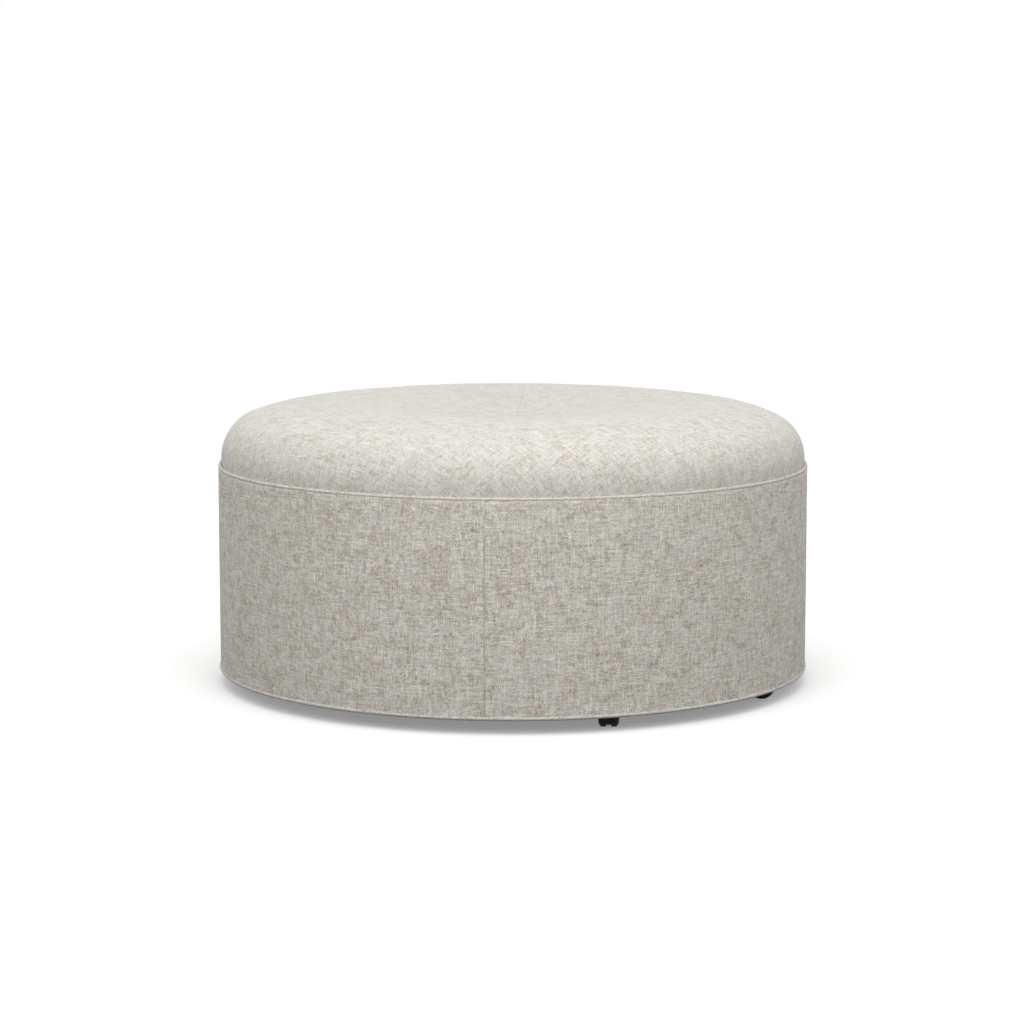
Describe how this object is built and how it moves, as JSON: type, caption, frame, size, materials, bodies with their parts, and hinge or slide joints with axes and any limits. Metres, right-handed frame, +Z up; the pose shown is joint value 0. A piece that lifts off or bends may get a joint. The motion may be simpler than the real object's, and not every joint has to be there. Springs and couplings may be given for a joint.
{
  "type": "ottoman",
  "caption": "Round drum ottoman with a crowned, dished cloth top, piped top and bottom edges, and swivel casters hidden under its base.",
  "frame": {"origin": "on the floor, under the centre of the drum", "axes": "+Z up, +X along the two rails of the base, +Y across them"},
  "size_m": [0.9167, 0.9168, 0.4321],
  "materials": {
    "linen_cloth": "heathered oatmeal linen-look weave",
    "polyester_wrap": "white lofted polyester",
    "seat_foam": "cut polyurethane foam",
    "nylon_twine": "waxed twine",
    "grey_card": "plain card",
    "plywood": "raw plywood",
    "pine": "planed softwood",
    "hardboard": "smooth brown hardboard",
    "black_cambric": "thin black non-woven cloth",
    "black_nylon": "moulded nylon",
    "black_wheel": "moulded nylon, satin tread",
    "black_steel": "black coated pressed steel",
    "zinc_steel": "bright zinc plate"
  },
  "bodies": {
    "ottoman": {"crown_cover": "linen_cloth", "crown_wrap": "polyester_wrap", "crown_foam": "seat_foam", "tuft_twine": "nylon_twine", "tuft_toggle": "black_nylon", "upper_welt": "linen_cloth", "lower_welt": "linen_cloth", "band_right_panel": "linen_cloth", "band_left_panel": "linen_cloth", "side_wadding": "polyester_wrap", "tack_strip": "grey_card", "deck_board": "plywood", "base_ring": "plywood", "rail_front": "pine", "rail_back": "pine", "dust_cover": "black_cambric", "caster_screws": "zinc_steel", "wall_panel_1": "hardboard", "wall_panel_2": "hardboard", "wall_panel_3": "hardboard", "wall_panel_4": "hardboard", "post_1": "pine", "post_2": "pine", "post_3": "pine", "post_4": "pine", "post_5": "pine", "post_6": "pine", "post_7": "pine", "post_8": "pine", "caster_1_plate": "black_steel", "caster_1_kingpin": "zinc_steel", "caster_2_plate": "black_steel", "caster_2_kingpin": "zinc_steel", "caster_3_plate": "black_steel", "caster_3_kingpin": "zinc_steel", "caster_4_plate": "black_steel", "caster_4_kingpin": "zinc_steel"},
    "caster_1": {"caster_1_hood": "black_nylon", "caster_1_axle": "zinc_steel"},
    "caster_1_left_wheel": {"caster_1_left_wheel": "black_wheel"},
    "caster_1_right_wheel": {"caster_1_right_wheel": "black_wheel"},
    "caster_2": {"caster_2_hood": "black_nylon", "caster_2_axle": "zinc_steel"},
    "caster_2_left_wheel": {"caster_2_left_wheel": "black_wheel"},
    "caster_2_right_wheel": {"caster_2_right_wheel": "black_wheel"},
    "caster_3": {"caster_3_hood": "black_nylon", "caster_3_axle": "zinc_steel"},
    "caster_3_left_wheel": {"caster_3_left_wheel": "black_wheel"},
    "caster_3_right_wheel": {"caster_3_right_wheel": "black_wheel"},
    "caster_4": {"caster_4_hood": "black_nylon", "caster_4_axle": "zinc_steel"},
    "caster_4_left_wheel": {"caster_4_left_wheel": "black_wheel"},
    "caster_4_right_wheel": {"caster_4_right_wheel": "black_wheel"}
  },
  "joints": [
    {"name": "caster_1_swivel", "type": "hinge", "parent": "ottoman", "child": "caster_1", "pos_m": [0.37276, -0.147, 0.03], "axis": [0, 0, 1], "continuous": true},
    {"name": "caster_1_left_wheel_roll", "type": "hinge", "parent": "caster_1", "child": "caster_1_left_wheel", "pos_m": [0.3862, -0.15897, 0.02], "axis": [0.6652, 0.7466, 0], "continuous": true},
    {"name": "caster_1_right_wheel_roll", "type": "hinge", "parent": "caster_1", "child": "caster_1_right_wheel", "pos_m": [0.3862, -0.15897, 0.02], "axis": [0.6652, 0.7466, 0], "continuous": true},
    {"name": "caster_2_swivel", "type": "hinge", "parent": "ottoman", "child": "caster_2", "pos_m": [0.37276, 0.147, 0.03], "axis": [0, 0, 1], "continuous": true},
    {"name": "caster_2_left_wheel_roll", "type": "hinge", "parent": "caster_2", "child": "caster_2_left_wheel", "pos_m": [0.38473, 0.16044, 0.02], "axis": [-0.7466, 0.6652, 0], "continuous": true},
    {"name": "caster_2_right_wheel_roll", "type": "hinge", "parent": "caster_2", "child": "caster_2_right_wheel", "pos_m": [0.38473, 0.16044, 0.02], "axis": [-0.7466, 0.6652, 0], "continuous": true},
    {"name": "caster_3_swivel", "type": "hinge", "parent": "ottoman", "child": "caster_3", "pos_m": [-0.37276, 0.147, 0.03], "axis": [0, 0, 1], "continuous": true},
    {"name": "caster_3_left_wheel_roll", "type": "hinge", "parent": "caster_3", "child": "caster_3_left_wheel", "pos_m": [-0.38121, 0.16289, 0.02], "axis": [-0.8829, -0.4695, 0], "continuous": true},
    {"name": "caster_3_right_wheel_roll", "type": "hinge", "parent": "caster_3", "child": "caster_3_right_wheel", "pos_m": [-0.38121, 0.16289, 0.02], "axis": [-0.8829, -0.4695, 0], "continuous": true},
    {"name": "caster_4_swivel", "type": "hinge", "parent": "ottoman", "child": "caster_4", "pos_m": [-0.37276, -0.147, 0.03], "axis": [0, 0, 1], "continuous": true},
    {"name": "caster_4_left_wheel_roll", "type": "hinge", "parent": "caster_4", "child": "caster_4_left_wheel", "pos_m": [-0.38907, -0.15461, 0.02], "axis": [0.4226, -0.9063, 0], "continuous": true},
    {"name": "caster_4_right_wheel_roll", "type": "hinge", "parent": "caster_4", "child": "caster_4_right_wheel", "pos_m": [-0.38907, -0.15461, 0.02], "axis": [0.4226, -0.9063, 0], "continuous": true}
  ]
}
